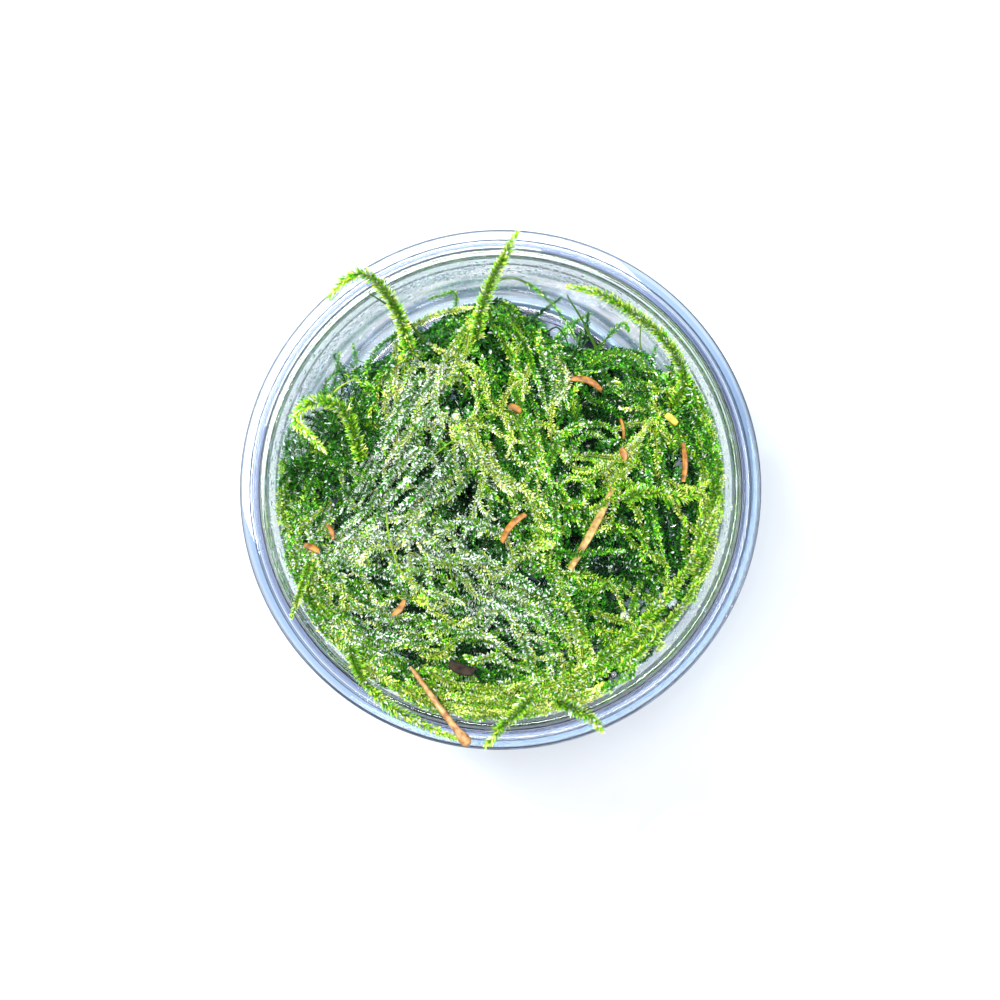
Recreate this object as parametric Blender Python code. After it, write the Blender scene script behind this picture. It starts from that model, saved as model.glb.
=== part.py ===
"""A clump of wet aquatic moss in a clear plastic cup.

The cup is one moulding: a raised floor, a tapered wall, a lid seat and a rounded bead.
The moss is a tangled clump that fills most of the cup, with loose shoots that stand clear of it,
and dead needles, husks and a twig that came with it.
Frame: origin at the centre of the cup's foot, +Z up. Lengths are in metres.
"""

import math

import bmesh
import bpy
from mathutils import Vector

MM = 0.001

# Cup, in mm.
CUP_HEIGHT = 50.0
BEAD_RADIUS = 45.0  # outside of the rim's bead
BEAD_INNER = 42.6
BEAD_DEPTH = 2.7
SEAT_DEPTH = 1.5  # lid seat, below the bead's top
MOUTH_RADIUS = 40.4  # inside of the wall at its top
WALL = 0.8
FLOOR_RADIUS = 34.7  # inside of the wall at its foot
FLOOR_RISE = 1.5  # underside of the raised floor
FLOOR_EDGE = 30.0
FOOT_FILLET = 1.6
CUP_SEGMENTS = 60
ARC_STEPS = 3

# Moss clump, in mm.
GAP = 0.4  # between touching solids
CLUMP_SEGMENTS = 64
CLUMP_TOP_RINGS = 13
CLUMP_SIDE_RINGS = 7
CLUMP_CENTRE = (0.0, -3.0)
CLUMP_SHOULDER = 4.0  # how far the clump's top edge is rounded down where it stands free
WALL_SHOULDER = 1.2  # and where it meets the wall

# The clump's reach on the far side of the cup, where it stands back from the wall:
# (angle in degrees from +X towards +Y, radius from the cup's axis).
CLUMP_REACH = (
    (24, 99.0),
    (34, 36.0),
    (44, 34.0),
    (54, 28.6),
    (68, 27.4),
    (80, 30.2),
    (90, 33.2),
    (100, 32.6),
    (114, 30.6),
    (136, 30.6),
    (147, 28.6),
    (158, 27.4),
    (170, 32.0),
    (182, 99.0),
)

# Rises and hollows of the clump's top: (x, y, height, spread).
CLUMP_RELIEF = (
    (-3.0, 10.0, 2.6, 11.0),
    (-14.0, -4.0, 1.6, 9.0),
    (-8.0, -24.0, 1.4, 9.0),
    (26.0, 8.0, 1.2, 7.0),
    (17.0, -11.0, -7.0, 7.0),
    (-8.0, 15.5, -3.6, 3.2),
    (-26.0, 8.0, -3.0, 6.0),
    (30.0, -22.0, -3.4, 6.0),
)

SHOOT_RADIUS = 1.0
STEM_RADIUS = 0.32
TIP_SHARE = 0.35
SHOOT_SPACING = 2.4
BARB_SIDES = 2

# Leafy shoots that stand clear of the clump, as points from root to tip (x, y, z).
SHOOTS = {
    "shoot_far": [(-4.2, 26.5, 41.6), (-3.4, 31.5, 45.8), (-1.2, 37.2, 49.9), (0.6, 40.6, 51.6), (2.6, 44.4, 51.9)],
    "shoot_over_rim": [
        (-15.6, 23.6, 41.6),
        (-16.6, 27.2, 46.0),
        (-17.8, 31.0, 49.6),
        (-20.1, 34.9, 52.2),
        (-23.4, 37.4, 53.0),
        (-26.8, 36.2, 52.6),
        (-29.2, 33.4, 51.9),
    ],
    "shoot_loop_left": [
        (-24.4, 5.0, 41.2),
        (-25.4, 9.2, 44.0),
        (-27.0, 13.6, 46.0),
        (-29.6, 15.4, 46.6),
        (-33.4, 15.2, 46.2),
        (-35.6, 12.6, 44.8),
        (-33.6, 9.6, 42.6),
        (-31.0, 6.6, 40.6),
    ],
    "shoot_arc_right": [
        (30.4, 14.4, 39.6),
        (32.2, 18.6, 43.0),
        (31.0, 22.8, 44.6),
        (28.2, 26.6, 45.4),
        (23.6, 30.4, 46.2),
        (17.2, 34.2, 46.6),
        (11.6, 35.4, 46.2),
    ],
    "shoot_front_left": [
        (-26.2, -27.4, 46.6),
        (-24.0, -32.0, 51.2),
        (-19.2, -37.0, 52.0),
        (-14.2, -39.7, 51.9),
        (-9.8, -41.8, 51.9),
        (-6.6, -42.9, 51.8),
    ],
    "shoot_front": [(5.2, -36.2, 47.6), (2.4, -38.6, 50.6), (-0.4, -41.0, 51.9), (-2.6, -43.8, 51.6)],
    "shoot_front_right": [(9.6, -36.8, 48.0), (13.0, -37.8, 50.6), (15.8, -39.2, 51.6), (17.4, -41.2, 51.7)],
    "shoot_wall_right": [
        (17.4, -29.8, 44.6),
        (20.8, -27.4, 45.4),
        (25.6, -22.6, 45.2),
        (30.2, -17.2, 45.0),
        (34.0, -12.4, 45.6),
        (36.4, -6.6, 46.6),
        (38.0, -1.2, 47.6),
    ],
    "shoot_corner_right": [
        (20.4, -32.0, 45.2),
        (24.4, -28.8, 44.6),
        (28.6, -24.6, 44.2),
        (32.4, -19.8, 45.2),
        (33.9, -16.6, 46.8),
    ],
    "shoot_cross_right": [
        (22.0, -2.0, 42.4),
        (24.0, -0.6, 44.0),
        (27.8, -0.4, 45.2),
        (32.4, -1.2, 45.6),
        (36.0, 1.4, 46.0),
    ],
    "shoot_left_tip": [(-33.4, -12.4, 44.6), (-34.2, -15.6, 47.4), (-35.2, -18.6, 50.6), (-36.2, -21.6, 51.4)],
}

# Bare stems, thinner than the leafy shoots.
STEMS = {
    "stem_arch": [
        (-1.6, 29.6, 39.4),
        (-2.4, 35.0, 43.6),
        (1.6, 37.0, 45.0),
        (6.2, 35.0, 44.6),
        (10.6, 30.6, 42.6),
        (13.4, 26.2, 40.0),
    ],
    "stem_right": [(17.2, 24.4, 38.6), (14.4, 29.6, 41.4), (11.6, 34.0, 43.4)],
    "stem_left": [(-13.2, 26.0, 40.6), (-16.8, 30.0, 44.6), (-19.8, 32.4, 48.4), (-22.6, 34.2, 50.8)],
}

# Dead pieces caught in the moss: name, start, end (x, y), width, thickness, sideways bend, height over the clump.
DEBRIS = (
    ("needle_long", (19.8, 0.4), (12.3, -14.3), 1.4, 0.6, 0.4, 2.6),
    ("needle_short", (4.4, -4.2), (0.2, -9.2), 1.2, 0.5, -0.7, 1.3),
    ("needle_upper", (12.4, 19.4), (17.8, 17.4), 1.2, 0.5, 0.8, 1.3),
    ("needle_right", (32.0, 8.2), (32.1, 1.4), 1.0, 0.5, 0.4, 1.3),
    ("stem_chip_right", (21.0, 12.6), (21.6, 9.0), 0.6, 0.5, 0.2, 1.3),
    ("husk_middle", (21.2, 7.4), (21.8, 5.2), 1.3, 0.5, 0.1, 1.3),
    ("bud_scale", (29.0, 13.2), (31.0, 11.5), 1.3, 0.5, 0.1, 1.5),
    ("husk_left", (-19.0, -21.8), (-16.8, -19.0), 1.2, 0.5, -0.4, 1.3),
    ("chip_left_wall", (-34.4, -9.6), (-31.8, -10.8), 1.2, 0.5, 0.2, 1.5),
    ("chip_left", (-30.4, -6.0), (-29.4, -8.6), 0.9, 0.5, 0.2, 1.4),
    ("bark_flake", (-9.0, -30.0), (-4.6, -31.6), 2.0, 0.6, -0.4, 1.3),
    ("flake_centre", (1.4, 14.8), (3.6, 13.8), 1.2, 0.5, 0.1, 1.3),
)

# The twig that lies from the moss over the front of the rim.
TWIG = [(-15.8, -30.6, 48.2), (-13.6, -33.2, 50.2), (-10.6, -37.0, 52.4), (-8.0, -40.2, 53.8), (-5.6, -43.2, 54.0)]
TWIG_RADII = (0.35, 0.5, 0.6, 0.75, 1.1)

COLOURS = {  # base colour, roughness, transmission
    "clear_plastic": ((0.86, 0.93, 0.97), 0.05, 1.0),
    "moss_dark": ((0.03, 0.12, 0.012), 0.45, 0.0),
    "moss_light": ((0.16, 0.30, 0.02), 0.4, 0.0),
    "stem_green": ((0.05, 0.11, 0.02), 0.4, 0.0),
    "dead_needle": ((0.50, 0.22, 0.07), 0.5, 0.0),
    "dead_husk": ((0.58, 0.34, 0.16), 0.55, 0.0),
    "bark": ((0.07, 0.04, 0.025), 0.7, 0.0),
}


def material(name):
    colour, roughness, transmission = COLOURS[name]
    made = bpy.data.materials.get(name)
    if made is None:
        made = bpy.data.materials.new(name)
        made.use_nodes = True
        shader = made.node_tree.nodes["Principled BSDF"]
        shader.inputs["Base Color"].default_value = (*colour, 1.0)
        shader.inputs["Roughness"].default_value = roughness
        shader.inputs["Transmission Weight"].default_value = transmission
    return made


def add_object(name, data, finish):
    obj = bpy.data.objects.new(name, data)
    data.materials.append(material(finish))
    bpy.context.scene.collection.objects.link(obj)
    return obj


def arc(centre_r, centre_z, radius, start, end, steps=ARC_STEPS):
    """Points of a circular arc in the (r, z) plane, angles in degrees."""
    angles = [math.radians(start + (end - start) * i / steps) for i in range(steps + 1)]
    return [(centre_r + radius * math.cos(a), centre_z + radius * math.sin(a)) for a in angles]


def cup_profile():
    """The moulding's section, from the floor's underside out, over the bead and down inside."""
    top = CUP_HEIGHT
    foot_outer = FLOOR_RADIUS + WALL
    wall_top = top - BEAD_DEPTH
    outer = [(0.0, FLOOR_RISE), (FLOOR_EDGE, FLOOR_RISE)]
    outer += arc(FLOOR_EDGE + 2.0, 0.8, 0.8, 180, 270)
    outer += arc(foot_outer - FOOT_FILLET, FOOT_FILLET, FOOT_FILLET, -90, -7)
    outer += [(MOUTH_RADIUS + WALL, wall_top - 0.7), (MOUTH_RADIUS + WALL + 0.7, wall_top)]
    bead = arc(BEAD_RADIUS - 1.0, wall_top + 1.0, 1.0, -90, 0)
    bead += arc(BEAD_RADIUS - 1.2, top - 1.2, 1.2, 0, 90)
    bead += arc(BEAD_INNER + 0.7, top - 0.7, 0.7, 90, 180)
    seat_z = top - SEAT_DEPTH
    seat = [(BEAD_INNER - 0.1, seat_z + 0.1), (BEAD_INNER - 0.4, seat_z)]
    seat += arc(MOUTH_RADIUS + 0.8, seat_z - 0.8, 0.8, 90, 173)
    floor_z = FLOOR_RISE + WALL
    inner = arc(FLOOR_RADIUS - FOOT_FILLET, FOOT_FILLET + WALL, FOOT_FILLET, -7, -90)
    inner += [(FLOOR_EDGE + 2.0, WALL), (FLOOR_EDGE + 0.9, 1.4), (FLOOR_EDGE - 0.1, floor_z), (0.0, floor_z)]
    return outer + bead + seat + inner


def lathe(name, profile, segments, finish):
    """One closed solid turned about Z. The profile's two ends lie on the axis."""
    bm = bmesh.new()
    rings = []
    for r, z in profile:
        if r == 0.0:
            rings.append([bm.verts.new((0, 0, z * MM))] * segments)
            continue
        ring = []
        for i in range(segments):
            a = math.tau * i / segments
            ring.append(bm.verts.new((r * math.cos(a) * MM, r * math.sin(a) * MM, z * MM)))
        rings.append(ring)
    skin(bm, rings)
    bmesh.ops.recalc_face_normals(bm, faces=bm.faces)
    return mesh_object(name, bm, finish)


def skin(bm, rings):
    """Faces between successive rings of the same count; a ring may be one repeated vertex."""
    for lower, upper in zip(rings, rings[1:]):
        for i in range(len(lower)):
            j = (i + 1) % len(lower)
            corners = [lower[i], lower[j], upper[j], upper[i]]
            bm.faces.new(list(dict.fromkeys(corners)))


def mesh_object(name, bm, finish):
    mesh = bpy.data.meshes.new(name)
    bm.to_mesh(mesh)
    bm.free()
    mesh.shade_smooth()
    mesh.set_sharp_from_angle(angle=math.radians(40))
    return add_object(name, mesh, finish)


def wall_inside(z):
    """Inner radius of the cup's wall at height z."""
    share = (z - FOOT_FILLET) / (CUP_HEIGHT - SEAT_DEPTH - FOOT_FILLET)
    return FLOOR_RADIUS + (MOUTH_RADIUS - FLOOR_RADIUS) * share


def reach(angle):
    """How far the clump spreads from the cup's axis at this angle, before the wall limits it."""
    degrees = math.degrees(angle) % 360
    for (a0, r0), (a1, r1) in zip(CLUMP_REACH, CLUMP_REACH[1:]):
        if a0 <= degrees <= a1:
            t = (degrees - a0) / (a1 - a0)
            return r0 + (r1 - r0) * t * t * (3 - 2 * t)
    return CLUMP_REACH[0][1]


def clump_top(x, y):
    """Height of the clump's upper surface."""
    z = 41.8 - 0.11 * y
    for cx, cy, height, spread in CLUMP_RELIEF:
        z += height * math.exp(-((x - cx) ** 2 + (y - cy) ** 2) / (2 * spread**2))
    lumps = math.sin(0.42 * x + 1.3) * math.cos(0.37 * y + 0.4) + 0.6 * math.sin(0.71 * y - 0.33 * x)
    return z + 0.55 * lumps


def smooth_path(points, spacing):
    """Catmull-Rom curve through the points, sampled about every `spacing` mm."""
    vs = [Vector(p) for p in points]
    ends = [vs[0] * 2 - vs[1], *vs, vs[-1] * 2 - vs[-2]]
    path = [vs[0]]
    for a, b, c, d in zip(ends, ends[1:], ends[2:], ends[3:]):
        steps = max(1, round((c - b).length / spacing))
        for i in range(1, steps + 1):
            t = i / steps
            path.append(
                0.5 * (2 * b + (c - a) * t + (2 * a - 5 * b + 4 * c - d) * t * t + (3 * b - a - 3 * c + d) * t**3)
            )
    return path


def tube(name, path, radii, finish):
    """A round shoot or twig along the path, with a radius at each point."""
    curve = bpy.data.curves.new(name, "CURVE")
    curve.dimensions = "3D"
    curve.bevel_depth = MM
    curve.bevel_resolution = BARB_SIDES
    curve.use_fill_caps = True
    spline = curve.splines.new("POLY")
    spline.points.add(len(path) - 1)
    for point, place, radius in zip(spline.points, path, radii):
        point.co = (*(place * MM), 1.0)
        point.radius = radius
    return add_object(name, curve, finish)


def tapered(count, radius, tip_share):
    """Radii that narrow towards the last point."""
    return [radius * (1 - (1 - tip_share) * (i / (count - 1)) ** 3) for i in range(count)]


def blade(name, start, end, width, thickness, bend, lift, finish):
    """A flat dead needle or flake that follows the clump's surface, bent a little sideways."""
    a, b = Vector(start), Vector(end)
    along = (b - a).normalized()
    side = Vector((-along.y, along.x))
    steps = max(4, round((b - a).length / 2.0))
    bm = bmesh.new()
    rings = []
    spine = []
    for i in range(steps + 1):
        t = i / steps
        place = a.lerp(b, t) + side * bend * math.sin(math.pi * t)
        z = max(clump_top(*a), clump_top(*b)) * 0.5 + 0.5 * clump_top(*place) + lift
        half = 0.5 * width * (0.55 + 0.45 * math.sin(math.pi * (0.15 + 0.7 * t)))
        spine.append((Vector((place.x, place.y, z)), half))
        ring = []
        for s, h in ((-1, -0.35), (0, -0.5), (1, -0.35), (1, 0.35), (0, 0.5), (-1, 0.35)):
            p = Vector((place.x, place.y, z)) + Vector((side.x, side.y, 0)) * s * half
            ring.append(bm.verts.new((p + Vector((0, 0, h * thickness))) * MM))
        rings.append(ring)
    skin(bm, rings)
    bm.faces.new(rings[0])
    bm.faces.new(rings[-1])
    bmesh.ops.recalc_face_normals(bm, faces=bm.faces)
    mesh_object(name, bm, finish)
    return spine


def clump(lying):
    """The tangled clump, hollowed a little under each piece that lies on it."""
    floor_z = FLOOR_RISE + WALL + GAP
    bm = bmesh.new()
    cx, cy = CLUMP_CENTRE

    def shoulder(angle):
        return CLUMP_SHOULDER if reach(angle) < wall_inside(40.0) else WALL_SHOULDER

    def edge(angle, z):
        limit = min(reach(angle), wall_inside(z) - GAP)
        return Vector((limit * math.cos(angle), limit * math.sin(angle)))

    def lowered(x, y, z):
        for place, radius in lying:
            away = math.hypot(x - place.x, y - place.y) - radius
            limit = place.z - radius - 0.6 + max(0.0, away - 2.4) * 0.9
            z = min(z, limit)
        return z

    angles = [math.tau * i / CLUMP_SEGMENTS for i in range(CLUMP_SEGMENTS)]
    rings = [[bm.verts.new((cx * MM, cy * MM, floor_z * MM))] * CLUMP_SEGMENTS]
    for k in range(CLUMP_SIDE_RINGS):
        share = k / (CLUMP_SIDE_RINGS - 1)
        ring = []
        for a in angles:
            rim = edge(a, 40.0)
            top_z = lowered(rim.x, rim.y, clump_top(*rim) - shoulder(a))
            z = floor_z + (top_z - floor_z) * share
            inset = 2.6 * (1 - share) ** 8
            p = edge(a, z)
            p = p * (1 - inset / p.length)
            ring.append(bm.verts.new((p.x * MM, p.y * MM, z * MM)))
        rings.append(ring)
    for k in range(1, CLUMP_TOP_RINGS):
        share = 1 - (k / CLUMP_TOP_RINGS) ** 1.15
        ring = []
        for a in angles:
            p = Vector((cx, cy)).lerp(edge(a, 40.0), share)
            z = clump_top(p.x, p.y) - shoulder(a) * share**6
            ring.append(bm.verts.new((p.x * MM, p.y * MM, lowered(p.x, p.y, z) * MM)))
        rings.append(ring)
    rings.append([bm.verts.new((cx * MM, cy * MM, lowered(cx, cy, clump_top(cx, cy)) * MM))] * CLUMP_SEGMENTS)
    skin(bm, rings)
    bmesh.ops.recalc_face_normals(bm, faces=bm.faces)
    return mesh_object("moss_clump", bm, "moss_dark")


def main():
    for obj in list(bpy.data.objects):
        bpy.data.objects.remove(obj)
    lathe("cup", cup_profile(), CUP_SEGMENTS, "clear_plastic")
    lying = []
    for name, points in SHOOTS.items():
        path = smooth_path(points, SHOOT_SPACING)
        radii = tapered(len(path), SHOOT_RADIUS, TIP_SHARE)
        tube(name, path, radii, "moss_light")
        lying += zip(path, radii)
    for name, points in STEMS.items():
        path = smooth_path(points, SHOOT_SPACING)
        tube(name, path, [STEM_RADIUS] * len(path), "stem_green")
        lying += [(p, STEM_RADIUS) for p in path]
    twig_path = smooth_path(TWIG, 99.0)
    tube("twig", twig_path, TWIG_RADII, "dead_needle")
    lying += zip(twig_path, TWIG_RADII)
    for name, start, end, width, thickness, bend, lift in DEBRIS:
        finish = "bark" if name.startswith("bark") else "dead_needle" if "needle" in name else "dead_husk"
        lying += blade(name, start, end, width, thickness, bend, lift, finish)
    clump(lying)


main()
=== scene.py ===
"""The look of the moss clump: leafy shoots, stems, dead pieces, the clear cup and its water beads.

Lengths are in mm in this file and become metres when a mesh is made.
"""

import math

import bpy
import numpy as np
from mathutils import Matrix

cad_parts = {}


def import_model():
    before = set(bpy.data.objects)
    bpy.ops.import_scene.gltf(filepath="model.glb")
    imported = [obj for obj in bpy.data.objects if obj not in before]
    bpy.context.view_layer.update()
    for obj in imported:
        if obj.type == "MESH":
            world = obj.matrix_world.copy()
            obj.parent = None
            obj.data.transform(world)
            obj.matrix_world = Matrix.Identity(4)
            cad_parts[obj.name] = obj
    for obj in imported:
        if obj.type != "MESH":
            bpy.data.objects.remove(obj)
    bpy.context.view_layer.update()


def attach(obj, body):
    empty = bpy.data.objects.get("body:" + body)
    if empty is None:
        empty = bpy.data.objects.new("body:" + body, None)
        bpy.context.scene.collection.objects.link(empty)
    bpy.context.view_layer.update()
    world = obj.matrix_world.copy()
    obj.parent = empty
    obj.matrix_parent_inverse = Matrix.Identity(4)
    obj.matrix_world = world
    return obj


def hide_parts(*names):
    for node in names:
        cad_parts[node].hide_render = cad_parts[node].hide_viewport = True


MM = 0.001
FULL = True

# ---------------------------------------------------------------- the cup

CUP_HEIGHT = 50.0
BEAD_RADIUS = 45.0
BEAD_INNER = 42.6
BEAD_DEPTH = 2.7
SEAT_DEPTH = 1.5
MOUTH_RADIUS = 40.4
WALL = 0.8
FLOOR_RADIUS = 34.7
FLOOR_RISE = 1.5
FLOOR_EDGE = 30.0
FOOT_FILLET = 1.6
CUP_SEGMENTS = 200

# Painted bands round the rim, standing in for its reflections and refraction: dark lines of painted shade,
# white lines of painted highlight and blue-grey bands between: inner radius, outer radius, tint.
PAINTED_RIM_RINGS = (
    (40.00, 40.22, (0.92, 0.96, 1.00)),
    (40.28, 40.46, (0.05, 0.07, 0.08)),
    (40.56, 41.26, (0.66, 0.75, 0.82)),
    (41.36, 41.70, (0.98, 0.99, 1.00)),
    (41.76, 41.94, (0.06, 0.08, 0.14)),
    (42.02, 42.62, (0.42, 0.50, 0.74)),
    (42.70, 43.08, (0.98, 0.98, 1.00)),
    (43.14, 43.32, (0.08, 0.12, 0.22)),
    (43.40, 44.10, (0.46, 0.62, 0.86)),
    (44.30, 44.74, (0.66, 0.76, 0.90)),
    (44.82, 45.00, (0.16, 0.20, 0.28)),
)

# ---------------------------------------------------------------- the clump

# The clump goes out to the wall where its reach is TO_WALL. Under FREE_EDGE it has an edge of its own.
TO_WALL = 99.0
FREE_EDGE = 38.0
# How far the clump spreads from the axis: direction in degrees, reach.
CLUMP_REACH = (
    (24, TO_WALL), (34, 36.0), (44, 34.0), (54, 28.6), (68, 27.4), (80, 30.2),
    (90, 33.2), (100, 32.6), (114, 30.6), (136, 30.6), (147, 28.6), (158, 27.4),
    (170, 32.0), (182, TO_WALL),
)
# The top's height at the axis, its fall towards the far side, and its mounds: x, y, height, spread.
CLUMP_LEVEL = 41.8
CLUMP_FALL = 0.11
CLUMP_RELIEF = (
    (-3.0, 10.0, 2.6, 11.0), (-14.0, -4.0, 1.6, 9.0), (-8.0, -24.0, 1.4, 9.0), (26.0, 8.0, 1.2, 7.0),
    (17.0, -11.0, -7.0, 7.0), (-8.0, 15.5, -3.6, 3.2), (-26.0, 8.0, -3.0, 6.0), (30.0, -22.0, -3.4, 6.0),
)
# Narrow dark holes between the shoots, with the leaves round them painted darker as shade: x, y, depth,
# spread.
HOLES = (
    (-8.0, 15.5, 6.0, 2.0), (-13.2, 8.6, 4.0, 1.7), (15.6, 8.2, 5.0, 2.2), (31.6, 5.0, 4.0, 1.6),
    (-26.0, 12.0, 4.0, 2.0), (-22.0, 5.0, 3.0, 1.2), (11.0, 3.6, 4.0, 1.5), (-7.0, -28.6, 4.0, 1.2),
    (-18.0, -33.0, 3.0, 1.2), (-1.5, 26.0, 4.0, 2.2), (16.5, -1.5, 3.0, 1.6), (20.4, 21.4, 7.0, 1.9),
    (24.6, 20.6, 7.0, 1.7), (31.5, -22.0, 6.0, 2.4), (25.0, -31.0, 5.0, 1.6), (19.5, -33.5, 5.0, 1.3),
    (13.5, -10.5, 5.0, 1.8), (21.0, -13.5, 5.0, 2.0), (-21.0, -13.0, 3.5, 1.3), (-5.0, -9.5, 4.0, 1.6),
    (-14.5, -21.5, 3.5, 1.2), (1.0, 21.5, 4.0, 1.4),
)
# Where leaves get a painted highlight, the silvery sheen of light off a water film: x, y, strength, spread.
PAINTED_SHEEN_SPOTS = (
    (-17.0, 6.0, 1.0, 6.5), (-23.0, -3.0, 1.0, 6.0), (-29.0, -9.0, 0.9, 5.0), (-12.0, -7.0, 0.8, 6.5),
    (-4.0, -17.0, 0.8, 7.0), (-22.0, -24.0, 0.8, 5.0), (3.0, -24.0, 0.6, 6.0), (9.0, 19.0, 0.8, 3.0),
    (-2.0, 1.0, 0.5, 6.0), (-12.0, 16.0, 0.6, 4.0), (-14.0, 21.0, 0.7, 5.0), (18.0, 9.0, 0.35, 6.0),
)
# Where young yellow-green growth shows, with painted light and shade mixed in: a strength below 0 paints
# shade, as over the hollow on the right, and some spots are raised where the top gets less light: x, y,
# strength, spread.
YOUNG_AND_PAINTED_LIGHT = (
    (-14.0, -36.0, 0.4, 5.0), (-2.0, -37.0, 0.4, 5.0), (12.0, -36.0, 0.4, 6.0), (-31.0, -16.0, 0.6, 4.0),
    (-7.0, 29.0, 0.8, 6.0), (-18.5, 22.0, 0.7, 3.5), (-13.0, 21.0, 1.0, 6.0), (20.0, 8.0, 0.7, 8.0),
    (14.0, -28.0, 0.5, 5.0), (-2.0, 3.0, 0.4, 5.0), (19.0, -9.0, -0.9, 7.0), (28.0, 2.0, -0.5, 7.0),
    (-13.0, 13.0, 0.8, 8.0), (2.0, 17.0, 0.6, 7.0), (18.0, 12.0, 0.5, 7.0), (36.0, -10.0, 0.8, 4.0),
    (-30.0, 14.0, 0.6, 4.0),
)

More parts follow.
